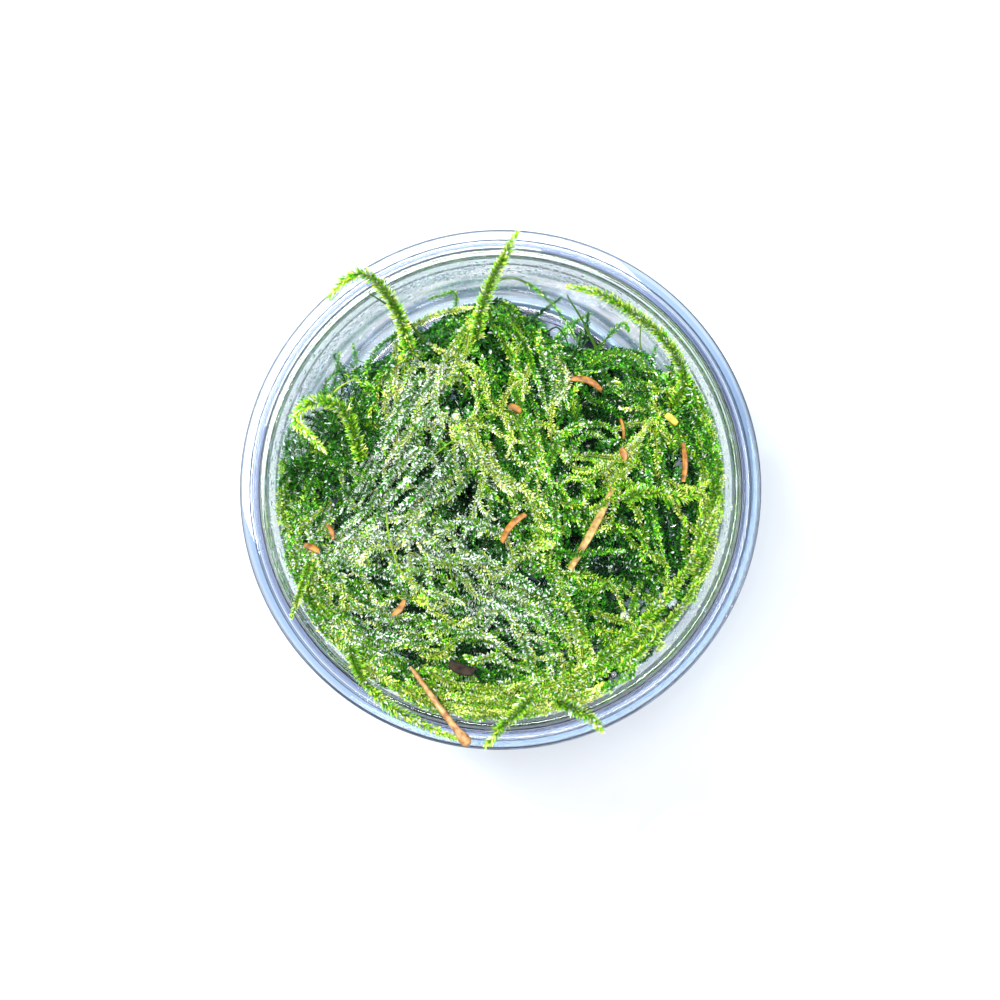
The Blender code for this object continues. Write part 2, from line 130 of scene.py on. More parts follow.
# Shoots that can be followed on top of the clump: (tone, lift, points x, y, ...).
WOVEN = (
    (0.62, 0.8, (-4, 31, -7, 27, -9.5, 23, -11, 19, -11.5, 15, -10, 11)),
    (0.70, 1.2, (-17, 28, -14, 29.5, -11, 31, -8, 31.5, -5, 32)),
    (0.60, 0.8, (-3, 31, 0, 27, 2, 23, 3.5, 20, 4, 16)),
    (0.40, 0.8, (-17, 28, -21.5, 25, -23.5, 22, -24, 19, -22.5, 16, -21.5, 13)),
    (0.74, 0.9, (-18.5, 26, -18.7, 23, -18.5, 20, -18.7, 16)),
    (0.55, 0.2, (-13, 25, -15, 22, -17, 18, -19, 13)),
    (0.60, 0.6, (-34, 10, -32, 8, -30.5, 5.5, -29, 4, -28, 1)),
    (0.50, 0.2, (-33, 13, -30, 10, -28, 7, -26, 4, -25, 0)),
    (0.45, 0.7, (-9, 22, -13, 18, -17, 13, -20, 8, -22, 3, -25, -3)),
    (0.45, 0.5, (-14, 20, -18, 14, -21, 8, -24, 2, -27, -4)),
    (0.40, 0.4, (-12, 15, -15, 10, -18, 5, -21, 0, -25, -5, -30, -9)),
    (0.45, 0.6, (-10, 11, -13, 6, -17, 1, -21, -4, -26, -8, -31, -11)),
    (0.40, 0.5, (-7, 8, -11, 3, -15, -1, -20, -5, -25, -9)),
    (0.78, 0.7, (-6, 10, -4.5, 7, -2.5, 4.5, 0, 1, 2, -1)),
    (0.58, 0.9, (-5, 18, -8, 20, -11, 18, -11.5, 14.5, -9, 12, -5.5, 12, -4, 15, -5, 18)),
    (0.55, 1.0, (0, 33, 3, 31, 6, 27.5, 8, 26, 11, 25)),
    (0.50, 0.6, (8, 25, 9, 21, 9.5, 17, 8, 13)),
    (0.45, 0.3, (1, 29, 4, 26, 5.5, 22, 7, 18, 8, 14)),
    (0.50, 0.4, (10, 26, 11, 22, 11, 18, 12, 14)),
    (0.40, 1.2, (16, 22, 20, 24.5, 22.5, 24, 25, 24, 27, 22.5, 28, 20)),
    (0.62, 0.8, (22, 24, 22, 21, 24, 19, 26, 17.5, 30, 17.5, 32, 18)),
    (0.50, 0.4, (13, 24, 16, 24, 18, 21, 20, 18, 22, 16)),
    (0.48, 0.9, (8, 3, 9.5, 7, 12, 10.5, 16, 11.5, 19, 11, 21, 9)),
    (0.55, 0.6, (12, 5, 13.5, 8, 16, 9.5, 18, 9)),
    (0.68, 0.9, (12, 5.5, 16, 5.8, 20, 5.5, 24, 7)),
    (0.70, 1.2, (15, 1, 18, 3, 21, 5.5, 24, 8, 26, 12)),
    (0.55, 1.2, (25, 8, 26, 4, 26.5, 0, 27, -4, 28, -8, 29, -12)),
    (0.48, 0.7, (28.5, 10, 28.5, 5, 29, 0)),
    (0.45, 0.3, (22, 17, 25, 15, 28, 12, 30, 9)),
    (0.72, 1.4, (11, -2.5, 14, -2.8, 16, -1, 15.5, 1, 13, 1.8, 11, 1)),
    (0.42, 0.4, (34, 13, 36, 9, 37, 5, 37.5, 1)),
    (0.50, 0.5, (0, 13, 3, 11, 6, 7, 8, 4, 9, 0)),
    (0.48, 0.2, (2, 18, 4, 14, 6, 11, 7, 7)),
    (0.80, 0.8, (-17, -14, -15.5, -16, -13, -18)),
    (0.75, 0.8, (-33, -10, -33.3, -13, -33, -16, -31.5, -19)),
    (0.78, 0.7, (-28, -15, -27.7, -18, -27.8, -21)),
    (0.80, 0.9, (-29, -24, -28, -27, -27, -30)),
    (0.45, 0.4, (-34, -6, -30, -12, -25, -14, -20, -15, -14, -17)),
    (0.40, 0.4, (-30, -14, -26, -18, -21, -18, -16, -17, -11, -19)),
    (0.42, 0.4, (-14, -10, -10, -12, -5, -12, 0, -13)),
    (0.42, 0.5, (-29, -20, -24, -24, -18, -26, -12, -27)),
    (0.45, 0.5, (-12, -20, -7, -21, -2, -20, 4, -22)),
    (0.80, 0.9, (-20, -33.5, -15, -36, -10, -37.6, -4, -38.4, 2, -38.4)),
    (0.76, 0.8, (-24, -31, -18, -34, -12, -35.4, -6, -36, 0, -36)),
    (0.72, 0.6, (-14, -31, -9, -33.5, -3, -34.5, 3, -34, 9, -33)),
    (0.82, 1.0, (0, -37.6, 6, -37.8, 12, -37.4, 16, -36.2)),
    (0.74, 0.7, (0, -35, 5, -36.5, 12, -36, 18, -34)),
    (0.66, 0.9, (9.5, -2, 10, -8, 10.3, -12, 10, -15, 11, -18)),
    (0.85, 1.2, (5.6, -10.2, 7, -9.6, 8.4, -10.2, 9.6, -9.8)),
    (0.70, 0.8, (10, -16, 11.5, -19, 13, -23, 13.5, -27, 14, -31)),
    (0.60, 0.5, (14, -24, 15.5, -28, 16, -33)),
    (0.80, 0.8, (16, -22, 20, -23, 25, -24, 28, -24.5, 31, -24)),
    (0.45, 0.5, (0, -14, 5, -17, 9, -21, 13, -25)),
    (0.42, 0.5, (-4, -17, 1, -20, 6, -23, 11, -26)),
    (0.50, 0.5, (4, -26, 5, -30, 6, -34)),
    (0.52, 0.5, (8, -26, 8.6, -30, 9, -34)),
    (0.62, 0.8, (36, -14, 34.8, -10, 35, -6, 35.5, -2)),
    (0.60, 0.6, (33.6, -15, 32.6, -10, 32.6, -5)),
    (0.58, 0.8, (14, -3.5, 16, -4.6, 18, -5.2)),
    (0.36, 0.6, (24, -12, 27, -15, 28, -18)),
    (0.52, 0.8, (20, -14, 22, -13, 24, -14.5, 27, -14)),
)

# Strands over the long needle: tone, then the height over it and x, y of each point.
OVER_NEEDLE = (
    (0.74, 1.3, (16.0, -4.0, 17.6, -3.0, 19.4, -1.6, 21.6, -0.9, 24.5, -0.2)),
    (0.66, 1.2, (14.6, -0.2, 17.0, -0.6, 19.6, 0.2, 22.6, 0.8, 26.0, 0.4)),
    (0.50, 1.2, (9.5, -11.3, 12.2, -11.4, 15.0, -11.2, 18.5, -10.9, 22.0, -11.2)),
)
# Lower parts of the clump outside its main outline: x, y, z, spread.
LEDGES = (
    (-30.0, 9.5, 38.0, 4.0), (-33.0, 4.0, 39.0, 3.5), (-27.0, 12.0, 35.0, 3.0), (31.0, 15.0, 38.0, 2.5),
)
# Where the wall is misted most: direction and spread, degrees.
MIST = ((146.0, 14.0), (166.0, 8.0), (104.0, 9.0), (60.0, 12.0), (14.0, 10.0))
# Large drops on the moss: x, y, height over the clump's top, radius.
DROPS = (
    (31.0, -21.0, -2.0, 1.0), (32.6, -18.6, -1.5, 0.6), (29.0, -19.2, -1.5, 0.55),
    (28.4, -23.8, -1.0, 0.7), (22.0, -22.5, 0.8, 0.9), (24.4, -31.0, -1.0, 0.6),
    (20.0, -32.6, -1.0, 0.5), (33.4, -14.8, 0.0, 0.5), (30.2, -26.0, -0.5, 0.5),
)
# Thin bare stems over the top: tone, radius, then x, y of each point.
FINE = (
    (0.72, 0.15, (-6.5, 10, -10, 7.5, -14, 4, -17, 1.5)),
    (0.76, 0.18, (-20, -4, -19.7, -7, -18.8, -11, -17.5, -14, -15.5, -16, -13, -18)),
    (0.72, 0.15, (2.5, 12, 4.5, 8.5, 6.5, 5.5)),
    (0.70, 0.16, (-9, -11, -8.7, -15, -7.5, -18, -6, -20)),
    (0.82, 0.16, (-30, 16.5, -28, 18.2, -25.5, 19.5)),
    (0.60, 0.14, (-31.5, 16, -31, 17.5, -30.5, 19)),
    (0.55, 0.16, (-16.5, 27, -16.7, 24, -17.2, 21)),
    (0.72, 0.12, (20, -15.5, 18, -17.5, 15.5, -19.5, 13.5, -20.5)),
    (0.30, 0.20, (8, 27.5, 10, 28.5, 11.5, 26.5, 12, 25)),
)

# Loose leafy shoots, from root to tip: x, y, z.
SHOOTS = {
    "shoot_far": [
        (-4.2, 26.5, 41.6), (-3.4, 31.5, 45.8), (-1.2, 37.2, 49.9), (0.6, 40.6, 51.6),
        (2.6, 44.4, 51.9),
    ],
    "shoot_over_rim": [
        (-15.6, 23.6, 41.6), (-16.6, 27.2, 46.0), (-17.8, 31.0, 49.6), (-20.1, 34.9, 52.2),
        (-23.4, 37.4, 53.0), (-26.8, 36.2, 52.6), (-29.2, 33.4, 51.9),
    ],
    "shoot_loop_left": [
        (-24.4, 5.0, 41.2), (-25.4, 9.2, 44.0), (-27.0, 13.6, 46.0), (-29.6, 15.4, 46.6),
        (-33.4, 15.2, 46.2), (-35.6, 12.6, 44.8), (-33.6, 9.6, 42.6), (-31.0, 6.6, 40.6),
    ],
    "shoot_arc_right": [
        (30.4, 14.4, 39.6), (32.2, 18.6, 43.0), (31.0, 22.8, 44.6), (28.2, 26.6, 45.4),
        (23.6, 30.4, 46.2), (17.2, 34.2, 46.6), (11.6, 35.4, 46.2),
    ],
    "shoot_front_left": [
        (-26.2, -27.4, 46.6), (-24.0, -32.0, 51.2), (-19.2, -37.0, 52.0), (-14.2, -39.7, 51.9),
        (-9.8, -41.8, 51.9), (-6.6, -42.9, 51.8),
    ],
    "shoot_front": [(5.2, -36.2, 47.6), (2.4, -38.6, 50.6), (-0.4, -41.0, 51.9), (-2.6, -43.8, 51.6)],
    "shoot_front_right": [
        (9.6, -36.8, 48.0), (13.0, -37.8, 50.6), (15.8, -39.2, 51.6), (17.4, -41.2, 51.7),
    ],
    "shoot_wall_right": [
        (17.4, -29.8, 44.6), (20.8, -27.4, 45.4), (25.6, -22.6, 45.2), (30.2, -17.2, 45.0),
        (34.0, -12.4, 45.6), (36.4, -6.6, 46.6), (38.0, -1.2, 47.6),
    ],
    "shoot_corner_right": [
        (20.4, -32.0, 45.2), (24.4, -28.8, 44.6), (28.6, -24.6, 44.2), (32.4, -19.8, 45.2),
        (33.9, -16.6, 46.8),
    ],
    "shoot_cross_right": [
        (22.0, -2.0, 42.4), (24.0, -0.6, 44.0), (27.8, -0.4, 45.2), (32.4, -1.2, 45.6),
        (36.0, 1.4, 46.0),
    ],
    "shoot_left_tip": [
        (-33.4, -12.4, 44.6), (-34.2, -15.6, 47.4), (-35.2, -18.6, 50.6), (-36.2, -21.6, 51.4),
    ],
}
# Leaf length against the usual one.
SHOOT_SIZES = {
    "shoot_left_tip": 0.6,
    "shoot_wall_right": 0.8,
    "shoot_corner_right": 0.8,
    "shoot_front_left": 0.9,
}

STEMS = {
    "stem_arch": [
        (-1.6, 29.6, 39.4), (-2.4, 35.0, 43.6), (1.6, 37.0, 45.0), (6.2, 35.0, 44.6),
        (10.6, 30.6, 42.6), (13.4, 26.2, 40.0),
    ],
    "stem_right": [(17.2, 24.4, 38.6), (14.4, 29.6, 41.4), (11.6, 34.0, 43.4)],
    "stem_left": [(-13.2, 26.0, 40.6), (-16.8, 30.0, 44.6), (-19.8, 32.4, 48.4), (-22.6, 34.2, 50.8)],
}
# Dead pieces: start, end (x, y), width, thickness, sideways bend, height over the clump, material.
DEBRIS = {
    "needle_long": ((19.8, 0.4), (12.3, -14.3), 1.4, 0.6, 0.4, 2.6, "pale_needle"),
    "needle_short": ((4.4, -4.2), (0.2, -9.2), 1.2, 0.5, -0.7, 1.3, "rust_needle"),
    "needle_upper": ((12.4, 19.4), (17.8, 17.4), 1.2, 0.5, 0.8, 1.3, "rust_needle"),
    "needle_right": ((32.0, 8.2), (32.1, 1.4), 1.0, 0.5, 0.4, 1.3, "rust_needle"),
    "stem_chip_right": ((21.0, 12.6), (21.6, 9.0), 0.6, 0.5, 0.2, 1.3, "rust_needle"),
    "husk_middle": ((21.2, 7.4), (21.8, 5.2), 1.3, 0.5, 0.1, 1.3, "husk"),
    "bud_scale": ((29.0, 13.2), (31.0, 11.5), 1.3, 0.5, 0.1, 1.5, "yellow_scale"),
    "husk_left": ((-19.0, -21.8), (-16.8, -19.0), 1.2, 0.5, -0.4, 1.3, "husk"),
    "chip_left_wall": ((-34.4, -9.6), (-31.8, -10.8), 1.2, 0.5, 0.2, 1.5, "rust_needle"),
    "chip_left": ((-30.4, -6.0), (-29.4, -8.6), 0.9, 0.5, 0.2, 1.4, "husk"),
    "bark_flake": ((-9.0, -30.0), (-4.6, -31.6), 2.0, 0.6, -0.4, 1.3, "bark"),
    "flake_centre": ((1.4, 14.8), (3.6, 13.8), 1.2, 0.5, 0.1, 1.3, "rust_needle"),
}
TWIG = [
    (-15.8, -30.6, 48.2), (-13.6, -33.2, 50.2), (-10.6, -37.0, 52.4), (-8.0, -40.2, 53.8),
    (-5.6, -43.2, 54.0),
]

# A leaf's tone runs from 0, deep green, to 0.93, yellow-green. Past that is a painted highlight: the silvery
# white sheen of light off a water film.
GREENEST, YELLOWEST, PAINTED_SHEEN_TONE = 0.02, 0.93, 0.965
# The usual radius of a shoot's stem, width of its leaves, and angles at which they stand out, degrees.
STEM = 0.13
LEAF_WIDTH = 0.40
OPEN = (55, 85)
# The turn round the stem from one leaf to the next, radians.
LEAF_TURN = 2.4
# Where the painted rings of the rim begin, as a distance from the axis.
RIM_FROM = 40.0
# Clear height under what lies on the clump, and the slope at which the clump may rise beside it.
ROOM = 0.5
ROOM_SLOPE = 1.5
# Where the wall's condensation is highest, and how far down it reaches.
MIST_TOP = 48.0
MIST_DEPTH = 22.0
# A drop wider than this is made with more sides.
LARGE_DROP = 0.45


# ---------------------------------------------------------------- shapes of cup and clump


def arc(centre_r, centre_z, radius, start, end, steps):
    angles = np.radians(np.linspace(start, end, steps + 1))
    return [(centre_r + radius * math.cos(a), centre_z + radius * math.sin(a)) for a in angles]


def cup_profile(steps=10):
    """The moulding's section, from the floor's underside out, over the bead and down inside."""
    top = CUP_HEIGHT
    foot_outer = FLOOR_RADIUS + WALL
    wall_top = top - BEAD_DEPTH
    outer = [(0.0, FLOOR_RISE), (FLOOR_EDGE, FLOOR_RISE)]
    outer += arc(FLOOR_EDGE + 2.0, 0.8, 0.8, 180, 270, steps)
    outer += arc(foot_outer - FOOT_FILLET, FOOT_FILLET, FOOT_FILLET, -90, -7, steps)
    outer += [(MOUTH_RADIUS + WALL, wall_top - 0.7), (MOUTH_RADIUS + WALL + 0.7, wall_top)]
    bead = arc(BEAD_RADIUS - 0.45, wall_top + 0.45, 0.45, -90, 0, steps)
    bead += arc(BEAD_RADIUS - 0.45, top - 0.45, 0.45, 0, 90, steps)
    bead += [(BEAD_RADIUS - 1.65, top), (BEAD_RADIUS - 1.75, top - 0.14), (BEAD_RADIUS - 1.85, top)]
    bead += arc(BEAD_INNER + 0.3, top - 0.3, 0.3, 90, 178, steps)
    seat_z = top - SEAT_DEPTH
    seat = [(BEAD_INNER - 0.05, seat_z + 0.25), (BEAD_INNER - 0.15, seat_z + 0.05)]
    seat += [(BEAD_INNER - 0.6, seat_z + 0.1)]
    seat += [(BEAD_INNER - 0.7, seat_z - 0.12), (BEAD_INNER - 0.85, seat_z - 0.05)]
    seat += [(MOUTH_RADIUS + 0.95, seat_z - 0.05), (MOUTH_RADIUS + 0.85, seat_z + 0.12)]
    seat += arc(MOUTH_RADIUS + 0.5, seat_z - 0.4, 0.5, 90, 173, steps)
    floor_z = FLOOR_RISE + WALL
    inner = arc(FLOOR_RADIUS - FOOT_FILLET, FOOT_FILLET + WALL, FOOT_FILLET, -7, -90, steps)
    inner += [(FLOOR_EDGE + 2.0, WALL), (FLOOR_EDGE + 0.9, 1.4), (FLOOR_EDGE - 0.1, floor_z), (0.0, floor_z)]
    return outer + bead + seat + inner


def wall_inside(z):
    share = (z - FOOT_FILLET) / (CUP_HEIGHT - SEAT_DEPTH - FOOT_FILLET)
    return FLOOR_RADIUS + (MOUTH_RADIUS - FLOOR_RADIUS) * share


def reach(x, y):
    """How far the clump spreads from the cup's axis in the direction of each point."""
    degrees = np.degrees(np.arctan2(y, x)) % 360
    table = np.array(CLUMP_REACH)
    at = np.clip(np.searchsorted(table[:, 0], degrees), 1, len(table) - 1)
    a0, r0 = table[at - 1].T
    a1, r1 = table[at].T
    t = np.clip((degrees - a0) / (a1 - a0), 0, 1)
    free = r0 + (r1 - r0) * t * t * (3 - 2 * t)
    outside = (degrees < table[0, 0]) | (degrees > table[-1, 0])
    return np.where(outside, TO_WALL, free)


def mounds(x, y, table):
    total = np.zeros_like(x)
    for cx, cy, height, spread in table:
        total += height * np.exp(-((x - cx) ** 2 + (y - cy) ** 2) / (2 * spread**2))
    return total


def clump_top(x, y):
    """Height of the clump's upper surface."""
    z = CLUMP_LEVEL - CLUMP_FALL * y + mounds(x, y, CLUMP_RELIEF)
    lumps = np.sin(0.42 * x + 1.3) * np.cos(0.37 * y + 0.4) + 0.6 * np.sin(0.71 * y - 0.33 * x)
    return z + 0.55 * lumps


def top_at(x, y):
    """Height of the clump's upper surface at one point."""
    return clump_top(np.array([x]), np.array([y]))[0]


def reach_at(angle):
    """How far the clump spreads in one direction."""
    return float(reach(np.array([math.cos(angle)]), np.array([math.sin(angle)]))[0])


# ---------------------------------------------------------------- curves


def smooth_path(points, spacing):
    """Catmull-Rom curve through the points, evenly sampled about every `spacing` mm."""
    p = np.array(points, float)
    ends = np.vstack([2 * p[0] - p[1], p, 2 * p[-1] - p[-2]])
    t = np.linspace(0, 1, 12, endpoint=False)[:, None]
    parts = []
    for a, b, c, d in zip(ends, ends[1:], ends[2:], ends[3:]):
        bend = 2 * b + (c - a) * t + (2 * a - 5 * b + 4 * c - d) * t**2 + (3 * b - a - 3 * c + d) * t**3
        parts.append(0.5 * bend)
    parts.append(p[-1:])
    return evened(np.vstack(parts), spacing)


def flat_path(points, spacing):
    """Smooth flat curve through points given as x, y, x, y."""
    return smooth_path(np.array(points, float).reshape(-1, 2), spacing)


def evened(path, spacing):
    """The path again, with its points at equal distances."""
    along = np.r_[0, np.cumsum(np.linalg.norm(np.diff(path, axis=0), axis=1))]
    count = max(2, int(round(along[-1] / spacing)) + 1)
    at = np.linspace(0, along[-1], count)
    return np.column_stack([np.interp(at, along, path[:, i]) for i in range(path.shape[1])])


def unit(v):
    return v / np.maximum(np.linalg.norm(v, axis=-1, keepdims=True), 1e-9)


def carried_frame(path):
    """Tangent, normal and binormal at each point, with no twist along the path."""
    tangent = unit(np.gradient(path, axis=0))
    start = np.array([0.0, 0.0, 1.0]) if abs(tangent[0, 2]) < 0.8 else np.array([1.0, 0.0, 0.0])
    normal = np.empty_like(path)
    current = unit(start - tangent[0] * (start @ tangent[0]))
    for i, t in enumerate(tangent):
        current = current - t * (current @ t)
        current = current / max(math.sqrt(current @ current), 1e-9)
        normal[i] = current
    return tangent, normal, np.cross(tangent, normal)


def ripple(points, seed, reach_mm):
    """Smooth noise of about -1 to 1 at each point, with waves of about `reach_mm`."""
    rng = np.random.default_rng(seed)
    total = np.zeros(len(points))
    for _ in range(5):
        way = unit(rng.normal(size=points.shape[1]))
        along = points @ way * (math.tau / reach_mm) * rng.uniform(0.6, 1.5)
        total += np.sin(along + rng.uniform(0, math.tau))
    return total / 3.0


# ---------------------------------------------------------------- leaves and stems


def rising(tone, gain=0.1, power=1):
    """A tone that grows by gain from a shoot's root to its tip."""
    return lambda share, place: tone + gain * share**power


class Growth:
    """Leaves and stems gathered for one mesh.

    Each corner has a place on the colour chart: the tone across, and up it a leaf's base, 0, to its tip,
    0.74, with stems past 0.8.
    """

    def __init__(self):
        self.corners = []
        self.faces = []
        self.chart = []
        self.count = 0

    def add(self, corners, faces, chart):
        self.corners.append(corners)
        self.faces.append(faces + self.count)
        self.chart.append(chart)
        self.count += len(corners)

    def stem(self, path, radius, tone, sides=3):
        _, normal, side = carried_frame(path)
        angles = np.arange(sides) * math.tau / sides
        ring = normal[:, None] * np.cos(angles)[None, :, None] + side[:, None] * np.sin(angles)[None, :, None]
        size = radius * np.linspace(1, 0.45, len(path))[:, None, None]
        corners = (path[:, None] + ring * size).reshape(-1, 3)
        rows = np.arange(len(path) - 1)[:, None] * sides
        here = np.arange(sides)[None]
        after = (here + 1) % sides
        a, b, c, d = rows + here, rows + after, rows + sides + after, rows + sides + here
        faces = np.concatenate([np.stack([a, b, c], -1), np.stack([a, c, d], -1)], 0).reshape(-1, 3)
        u = np.full(len(corners), tone)
        v = np.tile(np.array([0.86, 0.97, 0.91, 0.89, 0.95])[:sides], len(path))
        u += np.repeat(np.arange(len(path)) % 2 * 0.012, sides)
        self.add(corners, faces, np.column_stack([u, v]))

    def leaves(self, path, rng, per_mm, length, width, tones, spread=(38, 62), painted_sheen_share=0.0, vary=0.12):
        """Little pointed leaves all round the path.

        tones gives each leaf's tone from its share along the path and its place, and vary scatters it. A
        further share of the leaves, those under a water film, gets a painted highlight: the silvery white
        sheen tone in place of green.
        """
        along = np.r_[0, np.cumsum(np.linalg.norm(np.diff(path, axis=0), axis=1))]
        count = int(along[-1] * per_mm)
        if count < 2:
            return
        at = (np.arange(count) + rng.random(count)) / per_mm
        at = np.clip(at, 0, along[-1])
        frame = [path, *carried_frame(path)]
        place, tangent, normal, side = (
            np.column_stack([np.interp(at, along, part[:, i]) for i in range(3)]) for part in frame
        )
        tangent = unit(tangent)
        share = at / along[-1]
        turn = np.arange(count) * LEAF_TURN + rng.normal(0, 0.4, count)
        out = normal * np.cos(turn)[:, None] + side * np.sin(turn)[:, None]
        lean = np.radians(rng.uniform(spread[0], spread[1], count) * (1 - 0.45 * share**6))
        way = tangent * np.cos(lean)[:, None] + out * np.sin(lean)[:, None]
        across = unit(np.cross(tangent, out) + 0.35 * rng.normal(size=(count, 3)))
        across = unit(across - way * np.sum(across * way, 1, keepdims=True))
        upper = np.cross(way, across)
        small = 1 - 0.55 * share**5
        size = (length * small * rng.uniform(0.7, 1.2, count))[:, None]
        half = (0.5 * width * small**0.5 * rng.uniform(0.75, 1.2, count))[:, None]
        curl = rng.uniform(-0.05, 0.3, count)[:, None]
        base = place + out * 0.06
        belly = base + way * size * 0.52
        left = belly + across * half + upper * half * 0.5
        right = belly - across * half + upper * half * 0.5
        tip = base + way * size + tangent * size * curl
        corners = np.stack([base, left, tip, right], 1).reshape(-1, 3)
        first = np.arange(count)[:, None] * 4
        faces = np.concatenate([first + [0, 1, 2], first + [0, 2, 3]], 0)
        tone = np.clip(tones(share, place) + rng.normal(0, vary, count), GREENEST, YELLOWEST)
        # Painted highlight: the chosen leaves take the silvery white tone that stands for light shining off a
        # water film.
        film = rng.random(count) < (painted_sheen_share(place) if callable(painted_sheen_share) else painted_sheen_share)
        tone = np.where(film, PAINTED_SHEEN_TONE, tone)
        u = tone[:, None] + np.array([0.0, -0.008, 0.0, 0.008])
        v = np.broadcast_to(np.array([0.04, 0.36, 0.74, 0.40]), (count, 4))
        self.add(corners, faces, np.stack([u, v], -1).reshape(-1, 2))

    def mesh(self, name, finish):
        """All of it as one piece, with its chart as a UV map."""
        corners = np.concatenate(self.corners) * MM
        faces = np.concatenate(self.faces)
        chart = np.concatenate(self.chart)
        mesh = bpy.data.meshes.new(name)
        mesh.from_pydata(corners, [], faces)
        layer = mesh.uv_layers.new(name="OFBake")
        order = np.empty(len(mesh.loops), np.int32)
        mesh.loops.foreach_get("vertex_index", order)
        layer.data.foreach_set("uv", chart[order].astype(np.float32).ravel())
        mesh.materials.append(finish)
        return shown(name, mesh)


def shown(name, mesh):
    piece = bpy.data.objects.new(name, mesh)
    bpy.context.scene.collection.objects.link(piece)
    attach(piece, "root")
    return piece


# ---------------------------------------------------------------- materials


def new_material(name):
    made = bpy.data.materials.new(name)
    made.use_nodes = True
    tree = made.node_tree
    return made, tree, tree.nodes["Principled BSDF"]


def node(tree, kind, **settings):
    made = tree.nodes.new(kind)
    for key, value in settings.items():
        setattr(made, key, value)
    return made


def set_inputs(shader, **values):
    """Plain values for a shader's sockets, each named with underscores for spaces."""
    for key, value in values.items():
        shader.inputs[key.replace("_", " ")].default_value = value


def ramp(tree, source, stops):
    made = node(tree, "ShaderNodeValToRGB")
    elements = made.color_ramp.elements
    while len(elements) < len(stops):
        elements.new(0.5)
    for element, (place, colour) in zip(elements, stops):
        element.position = place
        element.color = (*colour, 1.0)
    tree.links.new(source, made.inputs["Fac"])
    return made.outputs["Color"]


def mixed(tree, share, first, second):
    """The first colour where share is 0 and the second where it is 1; each is a socket or a plain colour."""
    made = node(tree, "ShaderNodeMix", data_type="RGBA")
    tree.links.new(share, made.inputs["Factor"])
    for socket, value in ((made.inputs["A"], first), (made.inputs["B"], second)):
        if hasattr(value, "is_output"):
            tree.links.new(value, socket)
        else:
            socket.default_value = (*value, 1.0)
    return made.outputs["Result"]


def wet_leaves():
    """Leaf colours: across the chart from deep to yellow-green and then a painted silvery highlight, up it
    from a leaf's base, darkened as painted shade, to its tip.
    """
    made, tree, shader = new_material("wet_leaves")
    chart = node(tree, "ShaderNodeUVMap", uv_map="OFBake")
    split = node(tree, "ShaderNodeSeparateXYZ")
    tree.links.new(chart.outputs["UV"], split.inputs["Vector"])
    across, up = split.outputs["X"], split.outputs["Y"]
    # Place across the chart, then the colours of a leaf's base and tip. Each base is far darker than its tip,
    # painted shade where the leaves crowd the stem; the darkest tones give the painted shade of shoots deep
    # in the clump.
    tones = (
        (0.0, (0.002, 0.008, 0.003), (0.006, 0.025, 0.008)),
        (0.25, (0.004, 0.024, 0.004), (0.012, 0.090, 0.016)),
        (0.5, (0.010, 0.070, 0.008), (0.055, 0.330, 0.020)),
        (0.7, (0.022, 0.120, 0.006), (0.190, 0.700, 0.020)),
        (0.86, (0.060, 0.170, 0.008), (0.660, 0.950, 0.040)),
        (YELLOWEST, (0.120, 0.200, 0.012), (0.960, 0.970, 0.220)),
        # Painted highlight: past the yellowest, a silvery white that stands for light off a water film.
        (0.945, (0.120, 0.220, 0.120), (0.960, 1.000, 0.960)),
        (1.0, (0.120, 0.220, 0.120), (0.960, 1.000, 0.960)),
    )
    base, tip = (ramp(tree, across, [(row[0], row[part]) for row in tones]) for part in (1, 2))
    stem = ramp(
        tree,
        across,
        [
            (0.0, (0.008, 0.020, 0.006)),
            (0.4, (0.018, 0.050, 0.008)),
            (0.7, (0.080, 0.200, 0.010)),
            (0.9, (0.440, 0.560, 0.040)),
        ],
    )
    upward = node(tree, "ShaderNodeMapRange", clamp=True)
    upward.inputs["From Min"].default_value = 0.22
    upward.inputs["From Max"].default_value = 0.62
    tree.links.new(up, upward.inputs["Value"])
    leaf = mixed(tree, upward.outputs["Result"], base, tip)
    is_stem = node(tree, "ShaderNodeMath", operation="GREATER_THAN")
    is_stem.inputs[1].default_value = 0.8
    tree.links.new(up, is_stem.inputs[0])
    tree.links.new(mixed(tree, is_stem.outputs["Value"], leaf, stem), shader.inputs["Base Color"])
    set_inputs(shader, Roughness=0.20, IOR=1.38, Coat_Weight=0.15, Coat_Roughness=0.10)
    return made


def lets_lamps_through(tree, shader, tint):
    """The clear material's own shader for what is seen, and plain tinted clearness for a lamp's light."""
    path = node(tree, "ShaderNodeLightPath")
    clear = node(tree, "ShaderNodeBsdfTransparent")
    clear.inputs["Color"].default_value = (*tint, 1.0)
    choice = node(tree, "ShaderNodeMixShader")
    tree.links.new(path.outputs["Is Shadow Ray"], choice.inputs["Fac"])
    tree.links.new(shader.outputs["BSDF"], choice.inputs[1])
    tree.links.new(clear.outputs["BSDF"], choice.inputs[2])
    tree.links.new(choice.outputs["Shader"], tree.nodes["Material Output"].inputs["Surface"])


